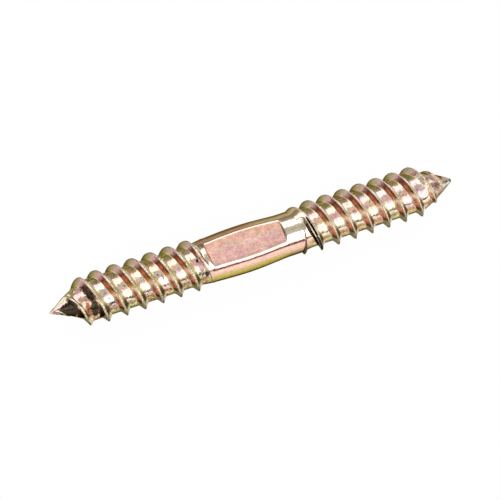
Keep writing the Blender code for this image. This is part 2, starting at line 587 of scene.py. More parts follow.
@dataclass
class DowelScrew:
    """The whole screw: two threaded ends, the plain shank and its flats, in one wound body."""

    left: ThreadedEnd = ThreadedEnd(
        hand=Hand.LEFT,
        tip=-40 * MM,
        length=29.7 * MM,
        major_diameter=9.40 * MM,
        run_out_length=3.6 * MM,
        start_angle=142.0,
        point_length=6.85 * MM,
        nub_diameter=0.3 * MM,
        mid_point_diameter=3.80 * MM,
        bare_tip=2.5 * MM,
        full_thread_from=6.7 * MM,
        land=0.30 * MM,
        lean=0.20 * MM,
        lean_reach=55.0,
        tail_height=0.4 * MM,
        point_bend=0.22 * MM,
    )
    right: ThreadedEnd = ThreadedEnd(
        hand=Hand.RIGHT,
        tip=40 * MM,
        length=32.5 * MM,
        major_diameter=9.55 * MM,
        run_out_length=2.5 * MM,
        start_angle=139.5,
        point_length=6.8 * MM,
        nub_diameter=0.6 * MM,
        mid_point_diameter=4.48 * MM,
        bare_tip=1.6 * MM,
        full_thread_from=7.6 * MM,
        land=0.17 * MM,
        lean=0.26 * MM,
        lean_reach=110.0,
        tail_height=0.0,
        point_bend=0.0,
    )
    flats: WrenchFlats = WrenchFlats()
    burr: BurrRing = BurrRing()
    ridge: RidgeOutline = RidgeOutline()
    split: SplitCrest = SplitCrest()
    stains: tuple[Stain, ...] = tuple(
        Stain(tone, *sizes) for tone, rows in STAINS.items() for sizes in rows
    )
    shank_diameter: float = 8.0 * MM
    shank_bulge: float = 0.35 * MM
    shoulder_length: float = 2.6 * MM
    bulge_reach: float = 0.9 * MM
    steps_per_turn: int = 108
    waviness: float = 0.012 * MM
    crest_nicks: float = 0.03 * MM
    smooth_angle: float = 40.0
    spare: float = 0.001 * MM
    merge_reach: float = 0.00001
    tip_merge_reach: float = 0.000002
    ridge_reach: float = 0.3
    bend_way: Span = (0.97, 0.24)
    low_ridge: float = 0.4 * MM
    bare_right_flank: float = 0.45 * MM
    right_flank_over: float = 0.3 * MM
    side_power: float = 0.4
    crest_from: Span = (0.82, 0.1)
    slow_ripples: tuple[Span, Span] = ((0.35, 3.0), (0.9, 11.0))
    nick_ripple: Span = (1.7, 23.0)
    nicks_above: float = 0.6

    @property
    def shank_left(self) -> float:
        """Where the shank begins."""
        return self.left.tip + self.left.length

    @property
    def shank_right(self) -> float:
        """Where the shank ends."""
        return self.right.tip - self.right.length

    @property
    def lead(self) -> float:
        """Advance of a thread in one turn."""
        return self.left.lead

    def by_end(self, x: Values, rule: Callable[[ThreadedEnd, Values], object]) -> Values:
        """Work out a rule with the left end's sizes or the right end's, parted at mid-shank.

        Args:
            x: Places along the screw.
            rule: Function of an end and of the distances from its tip, to values or one number.

        Returns:
            The rule's values at each place.
        """
        middle = (self.shank_left + self.shank_right) / 2
        left = rule(self.left, self.left.distance(x))
        right = rule(self.right, self.right.distance(x))
        return np.where(x < middle, left, right)

    def shank_radius(self, x: Values) -> Values:
        """Radius of the shank, which swells where the flats press the metal out."""
        reach = (self.flats.right - self.flats.left) / 2 + self.bulge_reach
        swell = np.maximum(1 - ((x - self.flats.middle) / reach) ** 2, 0.0) ** 1.5
        return self.shank_diameter / 2 + self.shank_bulge * swell

    def body_radius(self, x: Values) -> Values:
        """Radius of the bare body: points, roots, shoulders and shank.

        Args:
            x: Places along the screw.

        Returns:
            The radius at each place.
        """
        core = self.by_end(x, ThreadedEnd.core_radius)
        share = self.by_end(
            x, lambda end, distance: eased(1 - (end.length - distance) / self.shoulder_length)
        )
        return core + (self.shank_radius(x) - core) * share

    def ridge_height(self, x: Values) -> Values:
        """Height of the ridge over the bare body, which is nothing along the shank."""
        crest = self.by_end(
            x, lambda end, distance: end.core_radius(distance) + end.ridge_height(distance)
        )
        tail = self.by_end(x, ThreadedEnd.tail)
        return np.maximum(crest - self.body_radius(x), tail)

    def right_thread_shift(self) -> float:
        """How far the right thread's crests lie from the left thread's run of crests."""
        apart = (self.right.crest_at_top - self.left.crest_at_top) / self.ridge.spacing
        return (apart - round(apart)) * self.ridge.spacing

    def draw_outline(self) -> bpy.types.Object:
        """Draw one ridge point by point and repeat it along the whole screw and a lead more.

        Returns:
            The chain of points and edges as an object.
        """
        root = self.left.root_diameter / 2
        top, spacing = self.left.crest_at_top, self.ridge.spacing
        first = math.floor((self.left.tip - self.lead - top) / spacing) - 1
        last = math.ceil((self.right.tip - top) / spacing) + 1
        start = top + first * spacing
        places = [
            Vector((start + offset, 0, root + rise * self.ridge.height))
            for offset, rise in self.ridge.whole()
        ]
        item = EditTools.start_at("yellow_zinc_screw", places[0])
        for before, after in zip(places, places[1:]):
            EditTools.draw_on(after - before)
        bpy.ops.object.mode_set(mode="OBJECT")
        EditTools.apply(
            item,
            "ARRAY",
            count=last - first + 1,
            use_relative_offset=False,
            use_constant_offset=True,
            constant_offset_displace=(spacing, 0, 0),
            use_merge_vertices=True,
            merge_threshold=self.merge_reach,
        )
        return item

    def wind(self, item: bpy.types.Object) -> None:
        """Wind the outline one full turn, moving it on by the lead."""
        EditTools.apply(
            item,
            "SCREW",
            axis="X",
            angle=2 * math.pi,
            screw_offset=self.lead,
            steps=self.steps_per_turn,
            render_steps=self.steps_per_turn,
            use_merge_vertices=True,
            merge_threshold=self.merge_reach,
        )

    def places(self, item: bpy.types.Object) -> Values:
        """Read the places of all points of a mesh as rows of x, y and z."""
        found = np.empty(len(item.data.vertices) * 3)
        item.data.vertices.foreach_get("co", found)
        return found.reshape(-1, 3)

    def formed(self, places: Values) -> dict[str, Values]:
        """Turn places on the even thread into places on the finished screw.

        Args:
            places: Rows of x, y and z on the even thread.

        Returns:
            Places and finish values by name, one row or value for each point.
        """
        x, y, z = places.T
        angle = np.arctan2(-y, z)
        spacing = self.ridge.spacing
        root = self.left.root_diameter / 2
        rise = unit((np.hypot(y, z) - root) / self.ridge.height)
        run = x - self.left.crest_at_top - self.lead * angle / (2 * math.pi)
        offset = run - spacing * np.round(run / spacing)
        ridge_x = x - offset
        shank = self.shank_right - self.shank_left
        ridge_x = ridge_x + self.right_thread_shift() * eased((ridge_x - self.shank_left) / shank)
        degrees = np.degrees(angle)
        number = (ridge_x - self.right.crest_at_top) / spacing - 2 * degrees / 360
        split = (np.abs(number - self.split.ridge) < self.ridge_reach) & (ridge_x > 0)
        spread = self.split.widened(degrees) * split
        spare = (np.abs(number - self.split.spare_ridge) < self.ridge_reach) & (ridge_x > 0)
        grown = eased((degrees - self.split.spare_from) / self.split.spare_sweep)
        height = self.ridge_height(ridge_x) * np.where(spare, grown, 1.0)
        left_angle = np.where(split, self.split.left_angle(degrees), self.ridge.left_flank_angle)
        land = self.by_end(ridge_x, lambda end, distance: end.land)
        own = self.ridge.fitted(offset, height, land, spread, left_angle)
        x = ridge_x + own + self.by_end(ridge_x, lambda end, distance: end.shift(distance, degrees))
        x = x + self.split.shift * split * unit(1 - np.abs(offset) / (spacing / 2))
        groove = self.split.groove(own, degrees) * split
        widest = self.by_end(ridge_x, lambda end, distance: end.major_diameter / 2)
        radius = np.minimum(self.body_radius(x) + rise * height, widest - self.spare) - groove
        burr = self.burr.rise(x, degrees)
        radius = np.maximum(radius, self.body_radius(x) + burr)
        on_right = unit((height - self.bare_right_flank) / self.right_flank_over)
        grown = unit(height / self.low_ridge)
        side = unit(1 - np.abs(2 * rise - 1)) ** self.side_power
        side = side * np.where(offset > 0, on_right, grown)
        bend = self.by_end(x, ThreadedEnd.bend)
        y = self.bend_way[0] * bend - radius * np.sin(angle)
        z = self.bend_way[1] * bend + radius * np.cos(angle)
        return {
            "places": np.stack((x, y, z), axis=1),
            "rise": rise * grown,
            "facing": np.sign(offset) * side * np.where(split & (offset < 0), 0.0, 1.0),
            "burr": unit(burr / self.burr.full_tint),
            **self.stained(x, degrees, groove, split * (offset < 0) * rise, rise),
        }

    def stained(
        self, x: Values, degrees: Values, groove: Values, lip: Values, rise: Values
    ) -> dict[str, Values]:
        """Gather the patches of the film, with painted shade in the split crest's groove and on its
        left lip.

        Args:
            x: Places along the screw.
            degrees: Angles around it, between -180 and 180.
            groove: Depth of the groove in the split crest.
            lip: Share of the height on the left lip of that crest.
            rise: Share of the height on any ridge.

        Returns:
            Strength of each tone at each place, by the tone's name.
        """
        # Painted shade: the groove between the lips and the lower part of the left lip's flank are
        # laid dark.
        low = eased((degrees - self.split.lip_from) / self.split.lip_over)
        low = low * eased((0.9 - lip) / 0.1) * eased(lip / 0.06)
        tones = {tone.value: np.zeros_like(x) for tone in Tone}
        groove_shade = unit(groove / self.split.groove_full_shade)
        tones[Tone.DARK.value] = np.maximum(groove_shade, low * (lip > 0))
        below_crest = 1 - eased((rise - self.crest_from[0]) / self.crest_from[1])
        for patch in self.stains:
            name = patch.tone.value
            tones[name] = np.maximum(tones[name], patch.at(x, degrees) * below_crest)
        tones[Tone.TAN.value] *= 1 - rise
        return tones

    def refine(self, item: bpy.types.Object) -> None:
        """Divide the faces that will carry the flats' edges, the end walls and the burr."""
        places = self.places(item)
        formed = self.formed(places)["places"]
        corners = np.array([list(face.vertices) for face in item.data.polygons])
        middles = formed[corners].mean(axis=1)
        x, y, z = middles.T
        chosen = self.flats.near_edge(x, y, np.abs(z))
        degrees = np.degrees(np.arctan2(-y, z))
        on_burr = np.abs(x - self.burr.place) < self.burr.fine_reach
        on_burr &= (degrees > self.burr.shows_from) & (degrees < self.burr.gone_by)
        split, ridge = self.split, self.ridge
        crest = self.right.crest_at_top + split.ridge * ridge.spacing + self.lead * degrees / 360
        on_split = np.abs(x - crest + split.fine_at) < split.fine_reach
        on_split &= np.abs(degrees - split.fine_angle) < split.fine_sweep
        on_split &= np.hypot(y, z) > self.right.root_diameter / 2 + split.fine_above * ridge.height
        EditTools.select_faces(item, chosen | on_burr | on_split)
        bpy.ops.mesh.subdivide(number_cuts=3)
        bpy.ops.object.mode_set(mode="OBJECT")

    def press(self, places: Values) -> tuple[Values, Values]:
        """Press the two flats into the formed screw.

        Args:
            places: Rows of x, y and z, whose z is changed in place.

        Returns:
            1 for each point on a flat, and the share of the painted highlight along its back edge.
        """
        flats = self.flats
        x, y, z = places.T
        limit = flats.limit(x, y)
        dish = flats.dish * unit(1 - (y / flats.dish_reach) ** 2)
        high = np.abs(z)
        reach = np.where(y < 0, flats.front_edge_round, flats.back_edge_round)
        dish = dish * (limit < flats.across / 2 + flats.dish_above)
        pressed = soft_min(high, limit - dish, reach)
        inside = (x > flats.left - flats.press_left) & (x < flats.right + flats.press_right)
        places[:, 2] = np.where(inside, np.copysign(pressed, z), z)
        on_floor = (high > limit) & (x > flats.left - flats.left_skew * y) & (x < flats.right)
        # Painted highlight along the back edge of each flat.
        apart = np.abs(high - limit - flats.highlight_at) / flats.highlight_width
        edge = flats.brightness * eased(1.4 - apart) * (y > 0) * inside
        return on_floor.astype(float), edge

    def wear(self, places: Values, rise: Values) -> None:
        """Give the metal its slight waviness and the crests their nicks.

        Args:
            places: Rows of x, y and z, changed in place.
            rise: Share of the ridge's height at each point.
        """
        radial = places.copy()
        radial[:, 0] = 0.0
        length = np.maximum(np.linalg.norm(radial, axis=1), 1e-6)
        broad, narrow = self.slow_ripples
        slow = ripple(places, *broad) + 0.5 * ripple(places, *narrow)
        nicks = np.minimum(ripple(places, *self.nick_ripple), 0.0)
        nicks = nicks * np.maximum(rise - self.nicks_above, 0.0) / (1 - self.nicks_above)
        waves = self.waviness * np.where(rise > 0.5, np.minimum(slow, 0.0), slow)
        change = (waves + self.crest_nicks * nicks) * unit(length / MM)
        places += radial / length[:, None] * change[:, None]

    def keep_values(self, item: bpy.types.Object, name: str, values: Values) -> None:
        """Store one value for each point, for the finish to read."""
        layer = item.data.attributes.new(name, "FLOAT", "POINT")
        layer.data.foreach_set("value", values.astype(np.float32))

    def form(self, item: bpy.types.Object) -> None:
        """Move every point of the even thread to its place on the finished screw."""
        formed = self.formed(self.places(item))
        places = formed["places"]
        self.wear(places, formed["rise"])
        pressed, edge = self.press(places)
        item.data.vertices.foreach_set("co", places.ravel())
        for name in ("rise", "facing", "burr", *(tone.value for tone in Tone)):
            self.keep_values(item, name, formed[name])
        # Stores the painted highlight along the flats' back edge.
        self.keep_values(item, "pressed", pressed)
        self.keep_values(item, "edge", edge)
        item.data.update()

    def close_tips(self, item: bpy.types.Object) -> None:
        """Cut both ends to length, close them and turn every face outwards."""
        bpy.ops.object.mode_set(mode="EDIT")
        bpy.ops.mesh.select_mode(type="VERT")
        EditTools.trim(self.left.tip + self.spare, 1)
        EditTools.trim(self.right.tip - self.spare, -1)
        bpy.ops.mesh.select_all(action="SELECT")
        bpy.ops.mesh.remove_doubles(threshold=self.tip_merge_reach)
        bpy.ops.mesh.normals_make_consistent(inside=False)
        bpy.ops.object.mode_set(mode="OBJECT")

    def build(self) -> bpy.types.Object:
        """Model the screw.

        Returns:
            The finished mesh object, with no finish yet.
        """
        item = self.draw_outline()
        self.wind(item)
        self.refine(item)
        self.form(item)
        self.close_tips(item)
        bpy.ops.object.select_all(action="DESELECT")
        item.select_set(True)
        bpy.ops.object.shade_smooth_by_angle(angle=math.radians(self.smooth_angle))
        log.info("screw: %d points, %d faces", len(item.data.vertices), len(item.data.polygons))
        return item

    def dress(self, item: bpy.types.Object, finish: "YellowZinc") -> None:
        """Give the screw its finish and its place in the frame.

        Args:
            item: The modelled screw.
            finish: The yellow zinc finish.
        """
        item.data.materials.clear()
        item.data.materials.append(finish.material())
        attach(item, "root")
        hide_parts("dowel_screw")


@dataclass(frozen=True)
class Grain:
    """A noise pattern: cells in a millimetre, finer layers, their strength and the bend."""

    scale: float
    detail: float = 3.0
    rough: float = 0.55
    bent: float = 0.0


class NodeBoard:
    """A material's node tree, with short calls to lay nodes on it."""

    def __init__(self, name: str) -> None:
        """Start a material of that name with its shader ready."""
        self.made = bpy.data.materials.new(name)
        self.made.use_nodes = True
        self.tree = self.made.node_tree
        self.shader = self.tree.nodes["Principled BSDF"]

    @classmethod
    def over(cls, tree: bpy.types.NodeTree) -> "NodeBoard":
        """Work on a node tree that is already there."""
        board = cls.__new__(cls)
        board.tree = tree
        return board

    def put(
        self, kind: str, inputs: dict[str | int, object] | None = None, **settings: object
    ) -> bpy.types.Node:
        """Lay a node, set its properties and join or set its inputs.

        Args:
            kind: Type of the node without the ShaderNode prefix.
            inputs: Values or sockets by input name or number.
            **settings: The node's own properties.

        Returns:
            The new node.
        """
        node = self.tree.nodes.new("ShaderNode" + kind)
        for key, value in settings.items():
            setattr(node, key, value)
        for key, value in (inputs or {}).items():
            self.join(value, node.inputs[key])
        return node

    def join(self, value: object, socket: Socket) -> None:
        """Link a socket to an input, or set the input to a plain value."""
        if isinstance(value, Socket):
            self.tree.links.new(value, socket)
        else:
            socket.default_value = value

    def calc(self, operation: str, *terms: Number) -> Socket:
        """Combine up to three numbers with a Math node."""
        return self.put("Math", dict(enumerate(terms)), operation=operation).outputs[0]

    def times(self, first: Number, second: Number) -> Socket:
        """Multiply two numbers."""
        return self.calc("MULTIPLY", first, second)

    def times_plus(self, first: Number, second: Number, third: Number) -> Socket:
        """Multiply two numbers and add a third."""
        return self.calc("MULTIPLY_ADD", first, second, third)

    def vector(self, operation: str, first: object, second: object) -> Socket:
        """Combine two vectors, or scale the first by a number."""
        key = "Scale" if operation == "SCALE" else 1
        return self.put("VectorMath", {0: first, key: second}, operation=operation).outputs[0]

    def stretch(self, value: Number, *ends: float) -> Socket:
        """Map a range smoothly, given as low, high and the results there, which may be left out."""
        inputs = dict(enumerate((value, *ends, *(0.0, 1.0)[len(ends) - 2 :])))
        return self.put("MapRange", inputs, interpolation_type="SMOOTHSTEP").outputs[0]

    def blend(self, share: Number, first: Paint, second: Paint, how: str = "MIX") -> Socket:
        """Blend two colours.

        Args:
            share: Share of the second colour.
            first: Colour or socket.
            second: Colour or socket.
            how: Blend type.

        Returns:
            The blended colour's socket.
        """
        node = self.put("Mix", data_type="RGBA", blend_type=how, clamp_factor=True)
        self.join(share, node.inputs[0])
        for value, socket in ((first, node.inputs[6]), (second, node.inputs[7])):
            self.join((*value, 1.0) if isinstance(value, tuple) else value, socket)
        return node.outputs[2]

    def ramp(self, value: Number, stops: tuple[tuple[float, Colour], ...]) -> Socket:
        """Turn a number from 0 to 1 into a colour.

        Args:
            value: Number or socket.
            stops: Pairs of a place and its colour.

        Returns:
            The colour's socket.
        """
        node = self.put("ValToRGB", {0: value})
        bar = node.color_ramp.elements
        bar[0].position, bar[1].position = stops[0][0], stops[-1][0]
        for place, _ in stops[1:-1]:
            bar.new(place)
        for element, (_, colour) in zip(bar, stops):
            element.color = (*colour, 1.0)
        return node.outputs[0]

    def attribute(self, name: str) -> Socket:
        """Read a value that the mesh stores for each point."""
        return self.put("Attribute", attribute_name=name).outputs["Fac"]

    def grained(self, place: Socket, grain: Grain) -> bpy.types.Node:
        """Lay the node of a noise pattern over places in millimetres."""
        inputs = {"Vector": place, "Scale": grain.scale, "Detail": grain.detail}
        inputs |= {"Roughness": grain.rough, "Distortion": grain.bent}
        return self.put("TexNoise", inputs)

    def noise(self, place: Socket, grain: Grain) -> Socket:
        """Lay a grey noise pattern."""
        return self.grained(place, grain).outputs["Fac"]

    def mottled(self, colour: Paint, pattern: Socket, strength: Number) -> Socket:
        """Vary a colour's three parts by a coloured noise, short of black and white.

        Args:
            colour: Colour to vary.
            pattern: Colour socket of the noise.
            strength: Strength of the change.

        Returns:
            The varied colour's socket.
        """
        centred = self.vector("SUBTRACT", pattern, (0.5,) * 3)
        factor = self.vector("ADD", self.vector("SCALE", centred, strength), (1.0,) * 3)
        low = self.vector("MAXIMUM", self.vector("MULTIPLY", colour, factor), (0.012,) * 3)
        return self.vector("MINIMUM", low, (0.96,) * 3)


class FilmAndReflectionColour(Enum):
    """Colours that the chromate film takes as its thickness changes, which the bands also use as
    painted reflections and painted shade.
    """

    GREY = (0.26, 0.24, 0.20)
    OLIVE = (0.36, 0.33, 0.17)
    MOSS = (0.18, 0.15, 0.04)
    STRAW = (0.62, 0.55, 0.38)
    SAND = (0.60, 0.42, 0.24)
    GOLD = (0.94, 0.82, 0.42)
    PALE_GOLD = (0.97, 0.93, 0.68)
    CREAM = (0.94, 0.84, 0.70)
    ROSE = (0.95, 0.62, 0.48)
    PINK = (0.76, 0.50, 0.46)
    DULL_PINK = (0.58, 0.36, 0.33)
    COPPER = (0.66, 0.22, 0.13)
    RUST = (0.46, 0.24, 0.13)
    MAROON = (0.26, 0.08, 0.05)
    UMBER = (0.06, 0.04, 0.02)


Bands = tuple[tuple[float, FilmAndReflectionColour], ...]


@dataclass(frozen=True)
class FilmAndReflectionBands:
    """Bands of film colour, painted reflections and painted shade, from the upper back round to the
    lower front, tinted on the left end.
    """

    bands: Bands
    left_tint: Colour = (1.0, 1.0, 1.0)

    def laid(self, board: NodeBoard, around: Number, share: Number) -> Socket:
        """Lay the bands on a material.

        Args:
            board: The material's nodes.
            around: Socket of the place around the screw, from 0 to 1.
            share: 0 on the left end, 1 on the right end.

        Returns:
            The colour's socket.
        """
        colour = board.ramp(around, tuple((place, film.value) for place, film in self.bands))
        tint = board.blend(share, self.left_tint, (1.0, 1.0, 1.0))
        return board.blend(1.0, colour, tint, "MULTIPLY")


# Roots: film colours with painted reflections, pale gold where the lights mirror, a rust line in
# the gap below, and painted shade in moss and olive at the upper back and lower front.
ROOT_BANDS: Bands = (
    (0.0, FilmAndReflectionColour.STRAW), (0.07, FilmAndReflectionColour.MOSS), (0.14, FilmAndReflectionColour.SAND), (0.25, FilmAndReflectionColour.PINK),
    (0.42, FilmAndReflectionColour.ROSE), (0.56, FilmAndReflectionColour.PINK), (0.75, FilmAndReflectionColour.PALE_GOLD), (0.87, FilmAndReflectionColour.RUST),
    (0.93, FilmAndReflectionColour.GOLD), (1.0, FilmAndReflectionColour.OLIVE),
)
# Near flanks: painted reflections in maroon, copper and rust for light mirrored twice between flank
# and root, and painted shade in umber low down.
NEAR_FLANK_BANDS: Bands = (
    (0.0, FilmAndReflectionColour.OLIVE), (0.08, FilmAndReflectionColour.DULL_PINK), (0.2, FilmAndReflectionColour.MAROON), (0.35, FilmAndReflectionColour.COPPER),
    (0.48, FilmAndReflectionColour.RUST), (0.58, FilmAndReflectionColour.ROSE), (0.67, FilmAndReflectionColour.RUST), (0.75, FilmAndReflectionColour.COPPER),
    (0.87, FilmAndReflectionColour.UMBER), (0.97, FilmAndReflectionColour.STRAW),
)
# Far flanks: cream painted reflections of the lights, and painted shade in moss and umber low down.
FAR_FLANK_BANDS: Bands = (
    (0.0, FilmAndReflectionColour.OLIVE), (0.12, FilmAndReflectionColour.CREAM), (0.33, FilmAndReflectionColour.CREAM), (0.45, FilmAndReflectionColour.STRAW),
    (0.62, FilmAndReflectionColour.PALE_GOLD), (0.75, FilmAndReflectionColour.MOSS), (0.88, FilmAndReflectionColour.UMBER), (0.95, FilmAndReflectionColour.CREAM),
)
# Crests: pale, with painted shade in grey at the upper back and lower front.
CREST_BANDS: Bands = (
    (0.0, FilmAndReflectionColour.GREY), (0.06, FilmAndReflectionColour.PINK), (0.22, FilmAndReflectionColour.CREAM), (0.55, FilmAndReflectionColour.STRAW),
    (0.68, FilmAndReflectionColour.CREAM), (0.85, FilmAndReflectionColour.STRAW), (1.0, FilmAndReflectionColour.GREY),
)
# Feet of the ridges: pale gold painted reflections with rust and umber painted shade between them.
FOOT_BANDS: Bands = (
    (0.0, FilmAndReflectionColour.RUST), (0.09, FilmAndReflectionColour.GOLD), (0.18, FilmAndReflectionColour.SAND), (0.32, FilmAndReflectionColour.PALE_GOLD),
    (0.5, FilmAndReflectionColour.RUST), (0.62, FilmAndReflectionColour.PALE_GOLD), (0.75, FilmAndReflectionColour.UMBER), (0.83, FilmAndReflectionColour.STRAW),
    (1.0, FilmAndReflectionColour.OLIVE),
)
# Shank: cream painted reflections of the lights, a dull pink line in the gap between them, and
# painted shade in olive and moss at the upper back and lower front.
SHANK_BANDS: Bands = (
    (0.0, FilmAndReflectionColour.OLIVE), (0.14, FilmAndReflectionColour.SAND), (0.27, FilmAndReflectionColour.CREAM), (0.43, FilmAndReflectionColour.STRAW),
    (0.55, FilmAndReflectionColour.CREAM), (0.7, FilmAndReflectionColour.CREAM), (0.75, FilmAndReflectionColour.DULL_PINK), (0.84, FilmAndReflectionColour.ROSE),
    (0.94, FilmAndReflectionColour.SAND), (1.0, FilmAndReflectionColour.MOSS),
)


@dataclass(frozen=True)
class YellowZinc:
    """Bright zinc under a yellow chromate film, pink and gold with olive, in bands round the screw
    that are partly the film's colours and partly painted reflections of the lights and painted
    shade.

    A span says where a change starts and where it is complete, in millimetres along the screw, in
    shares of the way around it, or in a value that the mesh stores.
    """

    root: FilmAndReflectionBands = FilmAndReflectionBands(ROOT_BANDS)
    near_flank: FilmAndReflectionBands = FilmAndReflectionBands(NEAR_FLANK_BANDS)
    far_flank: FilmAndReflectionBands = FilmAndReflectionBands(FAR_FLANK_BANDS, left_tint=(0.80, 0.78, 0.52))
    crest: FilmAndReflectionBands = FilmAndReflectionBands(CREST_BANDS)
    foot: FilmAndReflectionBands = FilmAndReflectionBands(FOOT_BANDS)
    shank: FilmAndReflectionBands = FilmAndReflectionBands(SHANK_BANDS)
    flat_high: Colour = (0.84, 0.46, 0.34)
    flat_low: Colour = (0.74, 0.42, 0.37)
    # Pale colour for the flats' scratches and for the painted highlight streak along them.
    flat_pale_and_highlight: Colour = (0.86, 0.57, 0.49)
    # Pale colour of the painted highlight along the flats' back edge.
    flat_edge_highlight: Colour = (0.90, 0.80, 0.68)
    flat_worn: Colour = (0.50, 0.33, 0.29)
    speck: Colour = (0.17, 0.09, 0.055)
    golden: Colour = (0.64, 0.53, 0.17)
    # Painted shade along the low edge of the shank.
    painted_shade_rim: Colour = (0.10, 0.11, 0.04)
    brown: Colour = (0.88, 0.68, 0.80)
    fleck: Colour = (0.36, 0.34, 0.28)
    tones: tuple[tuple[Tone, Colour], ...] = (
        # Pale cream of the bare-metal patches, partly painted highlights.
        (Tone.BARE_AND_HIGHLIGHT, (0.97, 0.88, 0.70)),
        (Tone.TAN, (0.52, 0.36, 0.29)),
        (Tone.RUST, (0.32, 0.12, 0.065)),
        (Tone.DULL, (0.36, 0.24, 0.22)),
        # Near-black of the dark patches, also the painted shade in the split crest's groove and on
        # its left lip.
        (Tone.DARK, (0.040, 0.031, 0.021)),
    )
    burr: Colour = (0.20, 0.18, 0.12)
    edge_tint: tuple[float, float, float, float] = (0.28, 0.23, 0.15, 1.0)
    # Turn of the bands from the upright, so that their painted reflections line up with the lights
    # as the camera sees them.
    band_turn: float = 14.1
    least_radius: float = 0.2
    right_end: Span = (-3.0, 3.0)
    shank_left: Span = (-12.0, -10.4)
    shank_right: Span = (10.0, 8.0)
    golden_along: Span = (6.0, 2.0)
    golden_around: Span = (0.84, 0.91)
    # Where the painted shade along the shank's low edge runs, round the screw.
    painted_shade_rim_around: Span = (0.962, 0.990)
    brown_along: Span = (1.5, -3.0)
    brown_around: Span = (0.16, 0.08)
    foot_side: Span = (-0.04, -0.2)
    near_side: Span = (-0.38, -0.62)
    far_side: Span = (0.10, 0.45)
    far_dull: Span = (0.1, 0.5)
    glow_from: Span = (0.50, 0.56)
    glow_to: Span = (0.74, 0.66)
    cloudiness: float = 0.6
    crest_rise: Span = (0.86, 0.96)
    blotches: Grain = Grain(0.7, 4.0, 0.6, 0.6)
    fine: Grain = Grain(2.7, 3.0, 0.6, 0.8)
    wide: Grain = Grain(0.42, 2.0, 0.6, 0.5)
    broad: Grain = Grain(0.55, 2.0, 0.5, 0.4)
    flecks: Grain = Grain(4.6, 2.0)
    torn: Grain = Grain(2.2, 3.0, 0.6, 0.8)
    specks: Grain = Grain(2.0, 2.0, 0.5)
    curls: Grain = Grain(1.5, 3.0, 0.6, 2.2)
    wander: Grain = Grain(0.35, 2.0)
    scratches: Grain = Grain(2.8, 4.0, 0.7, 0.8)
    wear: Grain = Grain(1.5, 5.0, 0.65, 1.2)
    polish: Grain = Grain(1.3, 4.0, 0.6)
    dents: Grain = Grain(0.9, 3.0, 0.5)
    rolled: Grain = Grain(3.5, 4.0, 0.6)
    relief_depth: float = 0.06 * MM
    shank_middle: float = -1.3

    def material(self) -> bpy.types.Material:
        """Build the finish as a node material."""
        return ZincPainter(self).painted()


